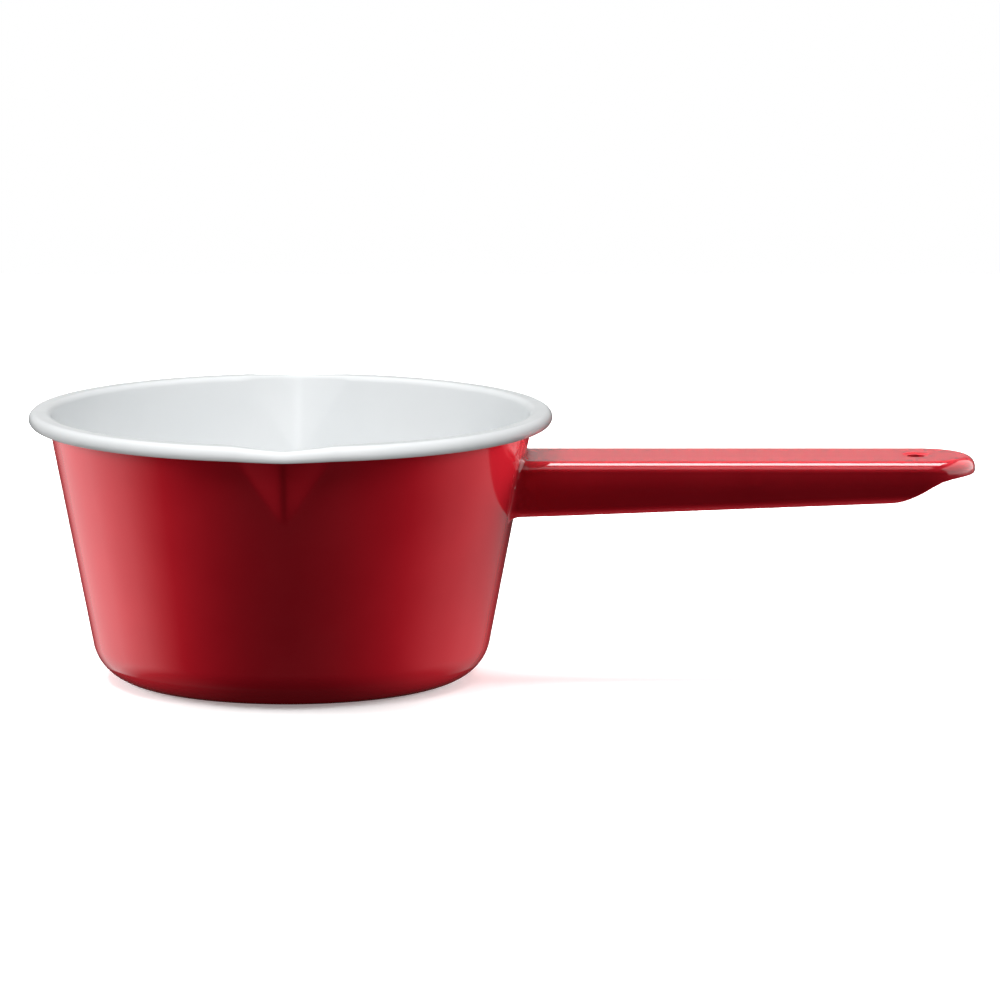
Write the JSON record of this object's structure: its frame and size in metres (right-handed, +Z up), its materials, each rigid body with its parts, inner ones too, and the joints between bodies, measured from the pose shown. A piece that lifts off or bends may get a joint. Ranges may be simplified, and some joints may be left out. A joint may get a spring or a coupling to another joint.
{
  "type": "enamel melting pot",
  "caption": "Round enamelled steel melting pot with a flared wall, rolled white rim, two opposite pouring lips and a hollow side handle with a hanging hole.",
  "frame": {"origin": "on the bowl's axis, at the flat underside the pot stands on", "axes": "+Z up along the bowl's axis, +X from the axis out along the handle; the pouring lips point along -Y and +Y"},
  "size_m": [0.28, 0.1592, 0.08],
  "materials": {
    "steel": "bare pressed steel under the enamel",
    "white_enamel": "glossy fused white enamel",
    "red_enamel": "glossy fused red enamel"
  },
  "bodies": {
    "root": {"bowl_steel": "steel", "lining_enamel": "white_enamel", "outer_enamel": "red_enamel", "handle_steel": "steel", "handle_enamel": "red_enamel", "handle_weld": "steel"}
  },
  "joints": []
}
